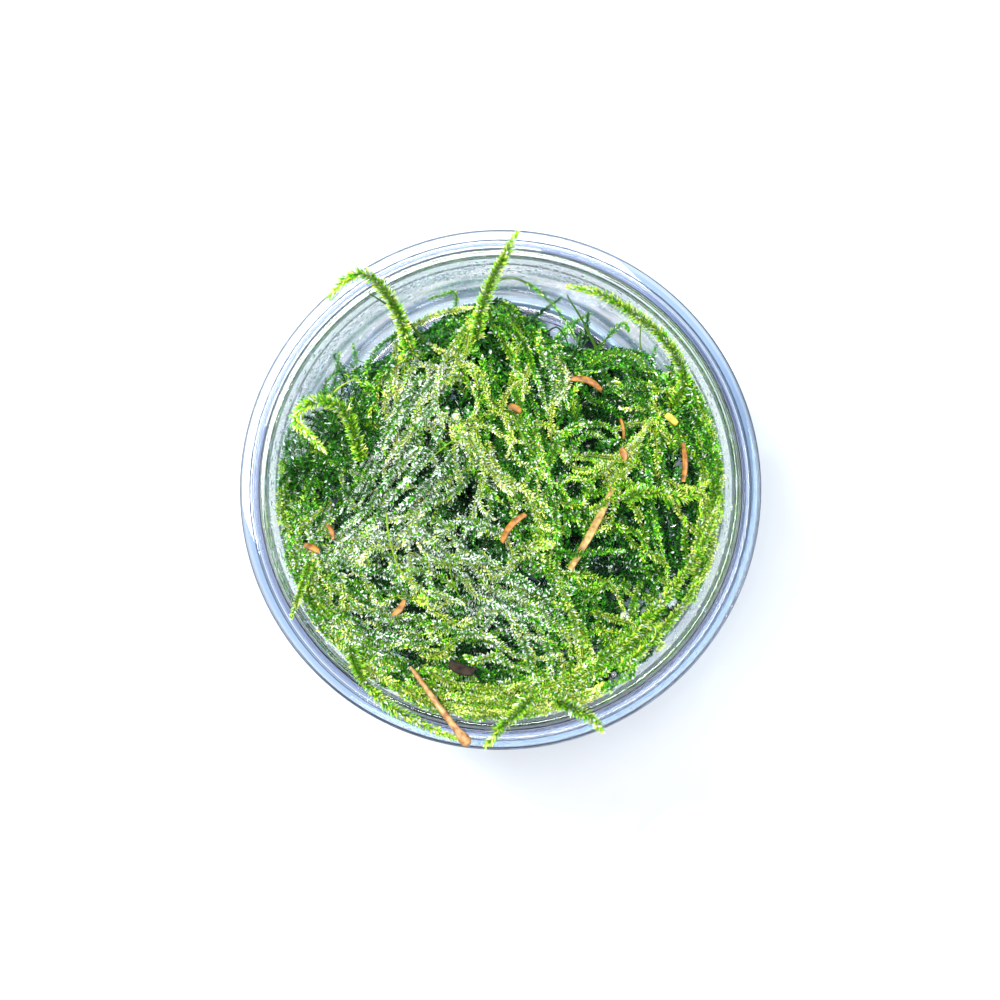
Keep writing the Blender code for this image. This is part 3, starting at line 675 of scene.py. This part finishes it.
def clear_plastic():
    """Clear plastic with painted reflections and shade: painted rings round the rim, dark and pale mottles
    down the wall, dark and pale spots on the floor.

    A darker band of painted shade runs round the far wall above the foot.
    """
    made, tree, shader = new_material("clear_plastic")
    place = node(tree, "ShaderNodeTexCoord").outputs["Object"]
    split = node(tree, "ShaderNodeSeparateXYZ")
    tree.links.new(place, split.inputs["Vector"])
    flat = node(tree, "ShaderNodeCombineXYZ")
    tree.links.new(split.outputs["X"], flat.inputs["X"])
    tree.links.new(split.outputs["Y"], flat.inputs["Y"])
    radius = node(tree, "ShaderNodeVectorMath", operation="LENGTH")
    tree.links.new(flat.outputs["Vector"], radius.inputs[0])

    def share(source, low, high):
        """0 to 1 as the source goes from low to high, in mm."""
        made = node(tree, "ShaderNodeMapRange", clamp=True)
        made.inputs["From Min"].default_value = low * MM
        made.inputs["From Max"].default_value = high * MM
        tree.links.new(source, made.inputs["Value"])
        return made.outputs["Result"]

    def spots(scale, detail, squeeze):
        """Noise in patches that are flattened along the cup's axis by squeeze."""
        stretched = node(tree, "ShaderNodeVectorMath", operation="MULTIPLY")
        stretched.inputs[1].default_value = (1.0, 1.0, squeeze)
        tree.links.new(place, stretched.inputs[0])
        made = node(tree, "ShaderNodeTexNoise")
        made.inputs["Scale"].default_value = scale
        made.inputs["Detail"].default_value = detail
        tree.links.new(stretched.outputs["Vector"], made.inputs["Vector"])
        return made.outputs["Fac"]

    # Painted reflection and shade: the rim's rings of dark lines, white lines and blue-grey bands.
    rim_width = BEAD_RADIUS - RIM_FROM
    stops = [((r - RIM_FROM) / rim_width, tint) for inner, outer, tint in PAINTED_RIM_RINGS for r in (inner, outer)]
    rings = ramp(tree, share(radius.outputs["Value"], RIM_FROM, BEAD_RADIUS), stops)
    # Painted shade and reflection: dark and pale mottles down the wall.
    wall = ramp(
        tree,
        spots(90.0, 4.0, 2.0),
        [(0.38, (0.30, 0.40, 0.44)), (0.47, (0.58, 0.68, 0.74)), (0.62, (0.94, 0.96, 0.98))],
    )
    # Painted shade and reflection: near-black and white spots on the floor.
    floor = ramp(
        tree,
        spots(130.0, 4.0, 1.0),
        [(0.40, (0.06, 0.06, 0.07)), (0.50, (0.40, 0.38, 0.42)), (0.58, (0.92, 0.88, 0.92))],
    )
    wall = mixed(tree, share(split.outputs["Z"], 30.0, 44.0), wall, (0.84, 0.89, 0.93))
    # Painted shade: a darker band low on the far wall.
    bend = node(tree, "ShaderNodeMath", operation="MULTIPLY")
    tree.links.new(share(split.outputs["Z"], 8.0, 10.0), bend.inputs[0])
    tree.links.new(share(split.outputs["Z"], 17.0, 14.0), bend.inputs[1])
    far = node(tree, "ShaderNodeMath", operation="MULTIPLY")
    tree.links.new(bend.outputs["Value"], far.inputs[0])
    tree.links.new(share(split.outputs["Y"], 8.0, 18.0), far.inputs[1])
    wall = mixed(tree, far.outputs["Value"], wall, (0.26, 0.36, 0.42))
    low = mixed(tree, share(radius.outputs["Value"], 32.6, 33.4), floor, (0.80, 0.86, 0.90))
    low = mixed(tree, share(split.outputs["Z"], 2.6, 5.0), low, wall)
    colour = mixed(tree, share(radius.outputs["Value"], RIM_FROM, RIM_FROM + 0.15), low, rings)
    tree.links.new(colour, shader.inputs["Base Color"])
    set_inputs(shader, Roughness=0.01, IOR=1.5, Transmission_Weight=1.0)
    lets_lamps_through(tree, shader, (0.62, 0.70, 0.78))
    return made


def water():
    made, tree, shader = new_material("water")
    set_inputs(shader, Base_Color=(0.95, 0.98, 1.0, 1.0), Roughness=0.04, IOR=1.33, Transmission_Weight=0.92)
    lets_lamps_through(tree, shader, (0.98, 0.98, 0.98))
    return made


def dead_plant(name, dark, light, roughness=0.5, film=0.04):
    """A dead piece's colour: fine blotches of a dark and a light tone, under a thin film of water."""
    made, tree, shader = new_material(name)
    place = node(tree, "ShaderNodeTexCoord")
    noise = node(tree, "ShaderNodeTexNoise")
    noise.inputs["Scale"].default_value = 900.0
    noise.inputs["Detail"].default_value = 3.0
    tree.links.new(place.outputs["Object"], noise.inputs["Vector"])
    colour = ramp(tree, noise.outputs["Fac"], [(0.35, dark), (0.62, light)])
    tree.links.new(colour, shader.inputs["Base Color"])
    set_inputs(shader, Roughness=roughness, Specular_IOR_Level=0.25, Coat_Weight=film, Coat_Roughness=0.1)
    return made


def plain(name, colour, roughness):
    made, _, shader = new_material(name)
    set_inputs(shader, Base_Color=(*colour, 1.0), Roughness=roughness)
    return made


# ---------------------------------------------------------------- pieces


def closed_mesh(name, rings, finish):
    """A closed mesh through rings of the same count of points, capped at both ends."""
    rings = np.array(rings)
    count, sides = rings.shape[:2]
    faces = []
    for i in range(count - 1):
        for j in range(sides):
            k = (j + 1) % sides
            faces.append((i * sides + j, i * sides + k, (i + 1) * sides + k, (i + 1) * sides + j))
    faces.append(tuple(range(sides))[::-1])
    faces.append(tuple(range((count - 1) * sides, count * sides)))
    mesh = bpy.data.meshes.new(name)
    mesh.from_pydata(rings.reshape(-1, 3) * MM, [], faces)
    mesh.materials.append(finish)
    mesh.shade_smooth()
    mesh.set_sharp_from_angle(angle=math.radians(50))
    return shown(name, mesh)


def build_cup(finish):
    profile = [p for p in cup_profile() if p[0] > 0]
    angles = np.arange(CUP_SEGMENTS) * math.tau / CUP_SEGMENTS
    round_it = np.column_stack([np.cos(angles), np.sin(angles), np.zeros(CUP_SEGMENTS)])
    rings = [r * round_it + [0, 0, z] for r, z in profile]
    cup = closed_mesh("clear_cup", rings, finish)
    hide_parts("cup")


def blade_line(name):
    """Middle line of a dead piece and its half widths."""
    start, end, width, thickness, bend, lift, _ = DEBRIS[name]
    a, b = np.array(start), np.array(end)
    along = unit(b - a)
    side = np.array([-along[1], along[0]])
    steps = max(6, int(round(np.linalg.norm(b - a) / 0.8)))
    t = np.linspace(0, 1, steps + 1)[:, None]
    flat = a + (b - a) * t + side * bend * np.sin(math.pi * t)
    ends = max(top_at(*a), top_at(*b))
    z = 0.5 * ends + 0.5 * clump_top(flat[:, 0], flat[:, 1]) + lift
    full = 0.12 if name.startswith("husk") else 0.5
    half = 0.5 * width * (full + (1 - full) * np.sin(math.pi * (0.12 + 0.76 * t[:, 0])) ** 0.8)
    return np.column_stack([flat, z]), half, side, thickness


def build_debris(finishes):
    """Needles, husks and scales: blades with a shallow groove along the top."""
    section = ((-1, 0), (-0.8, -0.4), (0, -0.5), (0.8, -0.4), (1, 0))
    section += ((0.75, 0.42), (0.15, 0.3), (-0.15, 0.3), (-0.75, 0.42))
    for name in DEBRIS:
        line, half, side, thickness = blade_line(name)
        rings = []
        for place, h in zip(line, half):
            rings.append([place + [side[0] * s * h, side[1] * s * h, v * thickness] for s, v in section])
        piece = closed_mesh("dead_" + name, rings, finishes[DEBRIS[name][6]])
        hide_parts(name)


def build_twig(finish):
    """The dead twig over the rim, with a knob at its outer end."""
    path = smooth_path(TWIG, 0.6)
    share = np.linspace(0, 1, len(path))
    radius = np.interp(share, [0, 0.1, 0.5, 0.8, 0.9, 0.97, 1], [0.2, 0.42, 0.5, 0.6, 1.0, 1.1, 0.6])
    radius = radius * (1 + 0.08 * ripple(path, 5, 3.0))
    _, normal, side = carried_frame(path)
    angles = np.arange(10) * math.tau / 10
    rings = [
        p + r * (n * np.cos(angles)[:, None] + s * np.sin(angles)[:, None])
        for p, r, n, s in zip(path, radius, normal, side)
    ]
    piece = closed_mesh("dead_twig", rings, finish)
    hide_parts("twig")


def loose_lines():
    """Points and radii of everything that lies on the clump, which it makes room for."""
    rows = []
    for points in SHOOTS.values():
        rows += [(*p, 0.9) for p in smooth_path(points, 1.5)]
    for points in STEMS.values():
        rows += [(*p, 0.3) for p in smooth_path(points, 1.5)]
    for name in DEBRIS:
        line, half, _, _ = blade_line(name)
        rows += [(*p, h) for p, h in zip(line, half)]
    rows += [(*p, 0.6) for p in smooth_path(TWIG, 1.5)]
    return np.array(rows)


def make_room(path, lying):
    """Keep a path below what lies on the clump."""
    x, y, z, radius = lying.T
    away = np.hypot(path[:, None, 0] - x, path[:, None, 1] - y) - radius
    limit = z - radius - ROOM + np.maximum(0, away - 0.4) * ROOM_SLOPE
    path[:, 2] = np.minimum(path[:, 2], limit.min(1))
    return path


def kept_inside(path, margin=1.0, open_side=True):
    """Keep a path inside the cup's wall and, with open_side, inside the clump's free side too."""
    r = np.hypot(path[:, 0], path[:, 1])
    limit = wall_inside(path[:, 2]) - margin
    if open_side:
        limit = np.minimum(reach(path[:, 0], path[:, 1]), limit)
    scale = np.minimum(1, limit / np.maximum(r, 1e-6))
    path[:, :2] *= scale[:, None]
    path[:, 2] = np.maximum(path[:, 2], FLOOR_RISE + WALL + margin)
    return path


class Flow:
    """Which way the shoots lie, read from the ones that can be followed."""

    def __init__(self):
        places, ways = [], []
        for _, _, flat in WOVEN:
            path = flat_path(flat, 1.5)
            way = unit(np.gradient(path, axis=0))
            places.append(path)
            ways.append(way)
        self.places = np.vstack(places)
        way = np.vstack(ways)
        angle = 2 * np.arctan2(way[:, 1], way[:, 0])
        self.double = np.column_stack([np.cos(angle), np.sin(angle)])

    def at(self, spots, spread=2.8):
        away = ((spots[:, None] - self.places[None]) ** 2).sum(-1)
        weight = np.exp(-away / (2 * spread**2)) + 1e-4 / (1 + away)
        total = weight @ self.double
        angle = 0.5 * np.arctan2(total[:, 1], total[:, 0])
        return np.column_stack([np.cos(angle), np.sin(angle)])


def strolled(starts, flow, steps, rng, step=1.0, stray=0.35):
    """Paths from each start that follow the flow on the flat, each with a turn of its own."""
    count = len(starts)
    place = starts.copy()
    way = flow.at(place) * np.where(rng.random(count) < 0.5, 1, -1)[:, None]
    way = unit(way + rng.normal(0, 0.3, (count, 2)))
    turn = rng.normal(0, stray, count)
    phase = rng.uniform(0, math.tau, count)
    wave = rng.uniform(0.25, 0.6, count)
    line = [place.copy()]
    for k in range(steps):
        lie = flow.at(place)
        lie *= np.sign((lie * way).sum(1) + 1e-9)[:, None]
        angle = turn * 0.16 + 0.26 * np.sin(phase + k * wave) + rng.normal(0, 0.06, count)
        way = unit(way * 0.86 + lie * 0.14)
        c, s = np.cos(angle), np.sin(angle)
        way = np.column_stack([way[:, 0] * c - way[:, 1] * s, way[:, 0] * s + way[:, 1] * c])
        place = place + way * step
        line.append(place.copy())
    return np.stack(line, 1)


def curled(place, way, turn, count, shake, rng, level=1.0):
    """A path in space that keeps turning about one axis; level below 1 keeps it flat."""
    points = []
    for _ in range(count):
        points.append(place)
        way = unit(way + np.cross(turn, way) + rng.normal(0, shake, 3))
        way[2] *= level
        place = place + way
    return np.array(points)


def build_top(finish, lying):
    """The shoots that can be seen from above, laid along the flow in several layers."""
    flow = Flow()
    rng = np.random.default_rng(11)
    growth = [Growth() for _ in range(4)]

    # Painted highlight: the share of leaves given the silvery sheen tone, higher in the sheen spots.
    def painted_sheen_at(place):
        return 0.09 + 0.43 * np.clip(mounds(place[:, 0], place[:, 1], PAINTED_SHEEN_SPOTS), 0, 1)

    def laid(path, depth, tone, per_mm, target, length=0.85, margin=1.0, open_side=True):
        """One leafy shoot along a flat path, so deep in the clump.

        A margin below 0 ends the shoot where it meets a hole or the clump's free edge.
        """
        if margin < 0:
            free = reach(path[:, 0], path[:, 1]) + margin
            past = np.hypot(path[:, 0], path[:, 1]) > np.where(free < FREE_EDGE, free, 46.0)
            for cx, cy, deep, wide in HOLES:
                past |= (np.hypot(path[:, 0] - cx, path[:, 1] - cy) < 0.9 * wide) & (depth < deep - 1.5)
            out = np.flatnonzero(past)
            path = path[: out[0]] if len(out) else path
            margin = 0.5 - 0.5 * margin
            if len(path) < 5:
                return
        xy = path[:, :2]
        z = clump_top(xy[:, 0], xy[:, 1]) - depth - mounds(xy[:, 0], xy[:, 1], HOLES)
        z += 1.0 * ripple(path[:, :2], int(rng.integers(1 << 30)), 7.0)
        r = np.hypot(xy[:, 0], xy[:, 1])
        free = reach(xy[:, 0], xy[:, 1])
        z -= np.where(free < FREE_EDGE, 3.5, 0.4) * np.clip(r / np.minimum(free, 40.0), 0, 1) ** 7
        z += 2.2 * np.clip((r - 31) / 8, 0, 1) * np.clip(-xy[:, 1] / 20, 0, 1)
        share = np.linspace(0, 1, len(path))
        z -= 2.2 * (1 - share) ** 8 + 0.9 * share**8
        path = np.column_stack([xy, z])
        path = kept_inside(make_room(path, lying), margin, open_side)
        # Painted light and shade: the tone follows the young growth table with its painted light and shade,
        # and each mm below 0.8 mm deep darkens it as painted shade.
        young_and_painted_light = np.clip(mounds(path[:, 0], path[:, 1], YOUNG_AND_PAINTED_LIGHT), -1 if depth > 1.2 else -0.4, 1).mean()
        tone = max(0.08, tone + 0.2 * young_and_painted_light - 0.17 * max(0.0, depth - 0.8))
        target.stem(path if depth < 1.2 else path[::2], STEM, min(0.88, tone + 0.05))
        target.leaves(
            path,
            rng,
            per_mm,
            length,
            LEAF_WIDTH,
            # Painted shade: leaves near a hole are darker.
            lambda share, place: tone + 0.16 * share**3 - 0.06 * mounds(place[:, 0], place[:, 1], HOLES),
            spread=OPEN,
            painted_sheen_share=(lambda place: painted_sheen_at(place) * (1.0 if depth < 1.5 else 0.4)),
            vary=0.16 if depth < 1.5 else 0.10,
        )

    # The shoots that can be followed, each with two more beside and below it, the lower two painted darker as
    # shade.
    for tone, lift, flat in WOVEN:
        path = flat_path(flat, 1.0)
        laid(path, 0.2 - lift, tone + 0.03, 24, growth[3], 0.90, open_side=False)
        for k in range(2 if FULL else 1):
            offset = rng.normal(0, 1.8, 2)
            begin = int(rng.integers(0, max(1, len(path) // 3)))
            depth = 1.6 - lift + 0.9 * k
            laid(path[begin:] + offset, depth, tone - 0.04, 14, growth[3], margin=-rng.uniform(0, 2))

    # The rest of the top: a few bright shoots over many deeper ones, painted darker as shade.
    count = 860 if FULL else 220
    spots = rng.uniform(-40, 40, (count * 3, 2))
    r = np.hypot(spots[:, 0], spots[:, 1])
    limit = np.minimum(reach(spots[:, 0], spots[:, 1]), wall_inside(44.0))
    spots = spots[r < limit - 0.5][:count]
    lines = strolled(spots, flow, 34, rng)
    silvery = np.clip(mounds(spots[:, 0], spots[:, 1], PAINTED_SHEEN_SPOTS), 0, 1)
    for i, line in enumerate(lines):
        length = int(rng.integers(12, 34))
        near = rng.random() < 0.12 + 0.18 * silvery[i]
        depth = rng.uniform(0.0, 1.2) if near else 1.8 + 4.2 * rng.random()
        per_mm = 18 if near else 12 if depth < 3.4 else 8
        tone = rng.normal(0.72 if near else 0.62, 0.10)
        laid(line[:length], depth, tone, per_mm, growth[i % 3], 0.85, margin=-rng.uniform(0, 2.5))

    # Shoots that lie round the wall.
    for _ in range(90 if FULL else 24):
        angle = math.radians(rng.uniform(172, 300) if rng.random() < 0.72 else rng.uniform(346, 390))
        r = rng.uniform(35.5, 39.5)
        drift = rng.normal(0, 0.08)
        line = []
        for _ in range(int(rng.integers(12, 30))):
            line.append((r * math.cos(angle), r * math.sin(angle)))
            drift += rng.normal(0, 0.05)
            angle += 1.0 / r
            r = min(r + math.sin(drift), 40.0)
        line = np.array(line)[:: 1 if rng.random() < 0.5 else -1]
        depth = rng.uniform(-1.2, 2.2)
        laid(line, depth, rng.normal(0.64, 0.08), 14, growth[3], 0.88, margin=-rng.uniform(0, 0.4))

    # The lower parts outside the clump's outline.
    for cx, cy, cz, wide in LEDGES:
        for _ in range(26 if FULL else 8):
            place = np.array([cx, cy, cz]) + rng.normal(0, 1, 3) * [0.6 * wide, 0.6 * wide, 2.2]
            heading = rng.uniform(0, math.tau)
            curl = rng.normal(0, 0.16)
            line = []
            for _ in range(int(rng.integers(7, 16))):
                line.append(place)
                heading += curl
                place = place + [math.cos(heading), math.sin(heading), rng.normal(0, 0.25)]
            path = kept_inside(np.array(line), 1.0, open_side=False)
            tone = rng.normal(0.42, 0.12)
            growth[0].stem(path, STEM, max(0.1, tone))
            growth[0].leaves(path, rng, 14, 0.95, 0.34, rising(tone), OPEN, painted_sheen_share=0.1)

    # Two rosettes: the tips of shoots that stand upright.
    for x, y in ((7.4, -9.9), (-13.8, -19.2)):
        z = top_at(x, y)
        path = smooth_path([(x, y, z - 1.6), (x + 0.1, y, z), (x + 0.3, y - 0.1, z + 1.4)], 0.3)
        growth[3].leaves(path, rng, 26, 1.2, 0.44, lambda share, place: 0.88, (60, 88))

    # The strands over the long needle, then the bare stems over the top.
    needle = blade_line("needle_long")[0]
    for tone, lift, flat in OVER_NEEDLE:
        path = flat_path(flat, 0.8)
        share = np.linspace(-1, 1, len(path))
        z = needle[:, 2].mean() + lift - 2.6 * share**4
        path = np.column_stack([path, z])
        growth[3].stem(path, STEM, tone)
        growth[3].leaves(path, rng, 24, 0.95, LEAF_WIDTH, rising(tone), OPEN, painted_sheen_share=0.1)
    for tone, radius, flat in FINE:
        path = flat_path(flat, 0.7)
        z = clump_top(path[:, 0], path[:, 1]) + 1.1
        path = kept_inside(make_room(np.column_stack([path, z]), lying), 0.6, open_side=False)
        growth[3].stem(path, radius, tone, sides=5)
    for k, part in enumerate(growth):
        piece = part.mesh(f"moss_upper_{k + 1}", finish)
        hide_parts("moss_clump")


def build_sides(finish):
    """The shoots pressed against the wall, and those along the clump's open side."""
    rng = np.random.default_rng(23)
    growth = Growth()
    count = 300 if FULL else 110
    for _ in range(count):
        angle = rng.uniform(0, math.tau)
        z = rng.uniform(4.0, 44.0)
        heading = rng.normal(0, 0.7) + (math.pi if rng.random() < 0.5 else 0)
        curl = rng.normal(0, 0.06)
        depth = 0.95 + 3.0 * rng.random() ** 2
        points = []
        for _ in range(int(rng.integers(12, 30))):
            r = min(reach_at(angle), wall_inside(z)) - depth
            points.append((r * math.cos(angle), r * math.sin(angle), z))
            heading += curl + rng.normal(0, 0.1)
            angle += math.cos(heading) / r
            z += math.sin(heading)
            top = top_at(*points[-1][:2]) - 2.2
            if z > top or z < 3.8:
                heading = -heading
                z = min(max(z, 3.8), top)
        path = np.array(points)
        tone = rng.normal(0.5, 0.1)
        growth.stem(path[::2], STEM, tone + 0.05)
        growth.leaves(path, rng, 6, 1.0, LEAF_WIDTH, rising(tone, 0.15, 3), painted_sheen_share=0.06)
    for _ in range(26 if FULL else 10):
        angle = math.radians(rng.uniform(38, 168))
        r = reach_at(angle) - 2.0
        place = np.array([r * math.cos(angle), r * math.sin(angle), rng.uniform(8.0, 40.0)])
        way = unit(np.array([math.cos(angle), math.sin(angle), 0.0]) + rng.normal(0, 0.6, 3))
        turn = unit(rng.normal(size=3)) * rng.uniform(0.08, 0.22)
        line = curled(place, way, turn, int(rng.integers(7, 20)), 0.06, rng)
        path = kept_inside(line, 0.9, open_side=False)
        tone = rng.uniform(0.25, 0.7)
        growth.stem(path, 0.2, tone)
        if rng.random() < 0.75:
            growth.leaves(path, rng, 14, 0.85, 0.34, rising(tone), (50, 80), painted_sheen_share=0.08)
    piece = growth.mesh("moss_sides", finish)
    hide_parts("moss_clump")


def build_inside(finish):
    """The shoots through the middle of the clump and over the cup's floor."""
    rng = np.random.default_rng(37)
    growth = Growth()
    count = 460 if FULL else 90
    for i in range(count):
        low = i % 4 == 0
        r = 33 * math.sqrt(rng.random())
        angle = rng.uniform(0, math.tau)
        z = rng.uniform(3.6, 6.0) if low else rng.uniform(5.0, 38.0)
        place = np.array([r * math.cos(angle), r * math.sin(angle), z])
        way = unit(rng.normal(size=3) * [1, 1, 0.1 if low else 0.5])
        turn = unit(rng.normal(size=3)) * 0.12
        line = curled(place, way, turn, int(rng.integers(14, 34)), 0.08, rng, 0.5 if low else 1.0)
        path = kept_inside(line, 1.2)
        top = clump_top(path[:, 0], path[:, 1]) - 3.0
        path[:, 2] = np.minimum(path[:, 2], top)
        # Painted shade: these shoots deep in the clump take dark tones.
        tone = rng.normal(0.32, 0.08)
        growth.stem(path[::3], STEM, tone)
        growth.leaves(path, rng, 3.6, 1.4, 0.66, rising(tone, 0.1, 3), painted_sheen_share=0.03)
    piece = growth.mesh("moss_depths", finish)
    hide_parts("moss_clump")


def build_shoots(finish):
    """The loose leafy shoots, each a piece of its own."""
    rng = np.random.default_rng(41)
    for name, points in SHOOTS.items():
        growth = Growth()
        path = smooth_path(points, 0.7)
        growth.stem(path, 0.2, 0.7, sides=4)
        size = SHOOT_SIZES.get(name, 1.0)
        growth.leaves(path, rng, 34, 1.55 * size, 0.44, rising(0.76, 0.08), (52, 84), painted_sheen_share=0.10)
        piece = growth.mesh("leafy_" + name, finish)
        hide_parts(name)


def build_stems(finish):
    """The bare stems; only the arched one has leaves, on its far half."""
    rng = np.random.default_rng(43)
    for name, points in STEMS.items():
        growth = Growth()
        path = smooth_path(points, 0.7)
        growth.stem(path, 0.3, 0.5, sides=5)
        half = path[len(path) // 2 :]
        if name == "stem_arch":
            growth.leaves(half, rng, 7, 0.9, 0.34, rising(0.6), painted_sheen_share=0.05)
        piece = growth.mesh("bare_" + name, finish)
        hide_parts(name)


def bead_mesh(name, beads, finish):
    """Flattened domes: each bead has a place, the way it faces, its radius and its height."""
    corners, faces = [], []
    first = 0
    for place, facing, radius, height in beads:
        sides = 5 if radius < LARGE_DROP else 14
        angles = np.arange(sides) * math.tau / sides
        facing = unit(np.array(facing, float))
        start = np.array([0, 0, 1.0]) if abs(facing[2]) < 0.9 else np.array([1.0, 0, 0])
        u = unit(np.cross(facing, start))
        v = np.cross(facing, u)
        ring = u[None] * np.cos(angles)[:, None] + v[None] * np.sin(angles)[:, None]
        levels = [place + ring * radius, place + ring * radius * 0.78 + facing * height * 0.66]
        corners.append(np.vstack([*levels, place + facing * height]))
        for j in range(sides):
            k = (j + 1) % sides
            faces.append((first + j, first + k, first + sides + k, first + sides + j))
            faces.append((first + sides + j, first + sides + k, first + 2 * sides))
        faces.append(tuple(first + np.arange(sides)[::-1]))
        first += 2 * sides + 1
    mesh = bpy.data.meshes.new(name)
    mesh.from_pydata(np.vstack(corners) * MM, [], faces)
    mesh.materials.append(finish)
    mesh.shade_smooth()
    mesh.set_sharp_from_angle(angle=math.radians(70))
    return shown(name, mesh)


def build_beads(finish):
    """Condensation on the inside of the wall, above the moss, and the large drops on the moss."""
    rng = np.random.default_rng(53)
    beads = []
    count = 5200 if FULL else 1500
    slope = math.atan2(MOUTH_RADIUS - FLOOR_RADIUS, CUP_HEIGHT - SEAT_DEPTH - FOOT_FILLET)
    while len(beads) < count:
        angle = rng.uniform(0, math.tau)
        deepest = MIST_DEPTH if math.sin(angle) > 0.1 else 9.0
        drop = rng.uniform(0, deepest) * rng.random() ** 0.3
        if rng.random() < 0.6:
            middle, wide = MIST[int(rng.integers(len(MIST)))]
            angle = math.radians(rng.normal(middle, wide))
            drop = rng.normal(11.0, 3.0)
        z = MIST_TOP - np.clip(drop, 0.0, MIST_DEPTH)
        radius = 0.10 + 0.42 * rng.random() ** 6
        r = wall_inside(z) - 0.02
        place = np.array([r * math.cos(angle), r * math.sin(angle), z])
        facing = (-math.cos(angle) * math.cos(slope), -math.sin(angle) * math.cos(slope), math.sin(slope))
        beads.append((place, facing, radius, radius * 0.55))
    for x, y, lift, radius in DROPS:
        z = top_at(x, y) + lift
        beads.append((np.array([x, y, z]), (0.1, 0.1, 1.0), radius, radius * 0.8))
    piece = bead_mesh("water_beads", beads, finish)


# ---------------------------------------------------------------- stage


def build_stage():
    """A plain pale floor, 3 m across."""
    mesh = bpy.data.meshes.new("floor")
    half = 1.5
    corners = [(-half, -half, 0), (half, -half, 0), (half, half, 0), (-half, half, 0)]
    mesh.from_pydata(corners, [], [(0, 1, 2, 3)])
    mesh.materials.append(plain("pale_floor", (0.46, 0.46, 0.46), 0.9))
    floor = bpy.data.objects.new("floor", mesh)
    bpy.context.scene.collection.objects.link(floor)


def lamp(name, place, size, power):
    """A round white lamp that faces the cup, in metres and watts."""
    data = bpy.data.lights.new(name, "AREA")
    data.shape = "DISK"
    data.size = size
    data.energy = power
    made = bpy.data.objects.new(name, data)
    made.location = place
    aim = -np.array(place, float) + [0, 0, 0.04]
    length = float(np.linalg.norm(aim))
    tilt = math.acos(-aim[2] / length)
    around = math.atan2(aim[0], -aim[1])
    made.rotation_euler = (tilt, 0, around)
    bpy.context.scene.collection.objects.link(made)


def build_light():
    world = bpy.data.worlds.new("studio")
    world.use_nodes = True
    back = world.node_tree.nodes["Background"]
    back.inputs["Color"].default_value = (0.40, 0.56, 0.85, 1)
    back.inputs["Strength"].default_value = 0.4
    bpy.context.scene.world = world
    lamp("overhead", (-0.16, 0.18, 1.2), 0.6, 23.0)
    lamp("key", (-0.38, 0.38, 0.75), 0.13, 31.0)
    lamp("second", (0.45, -0.25, 0.7), 0.13, 14.0)


def build_camera():
    """Looks down on the cup, a few degrees off its axis."""
    data = bpy.data.cameras.new("camera")
    data.lens = 73.1
    data.sensor_width = 36
    data.shift_x = -0.001
    data.shift_y = -0.0075
    made = bpy.data.objects.new("camera", data)
    distance, tilt, slant = 0.35, math.radians(4.2), math.radians(0.7)
    over = CUP_HEIGHT * MM + distance * math.cos(tilt)
    made.location = (-distance * math.sin(slant), distance * math.sin(tilt), over)
    made.rotation_euler = (-tilt, -slant, 0)
    bpy.context.scene.collection.objects.link(made)
    bpy.context.scene.camera = made


def main():
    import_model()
    leaves = wet_leaves()
    dead = {
        "pale_needle": dead_plant("pale_needle", (0.22, 0.12, 0.03), (0.46, 0.32, 0.11)),
        "rust_needle": dead_plant("rust_needle", (0.12, 0.04, 0.004), (0.38, 0.16, 0.02)),
        "husk": dead_plant("husk", (0.14, 0.05, 0.008), (0.42, 0.20, 0.04)),
        "yellow_scale": dead_plant("yellow_scale", (0.34, 0.25, 0.02), (0.54, 0.45, 0.07)),
        "bark": dead_plant("bark", (0.004, 0.003, 0.002), (0.030, 0.018, 0.010), 0.8, 0.0),
    }
    build_cup(clear_plastic())
    lying = loose_lines()
    build_top(leaves, lying)
    build_sides(leaves)
    build_inside(leaves)
    build_shoots(leaves)
    build_stems(leaves)
    build_debris(dead)
    build_twig(dead_plant("twig_bark", (0.26, 0.10, 0.03), (0.52, 0.31, 0.13)))
    build_beads(water())
    build_stage()
    build_light()
    build_camera()
    bpy.context.scene.view_settings.view_transform = "Standard"


main()
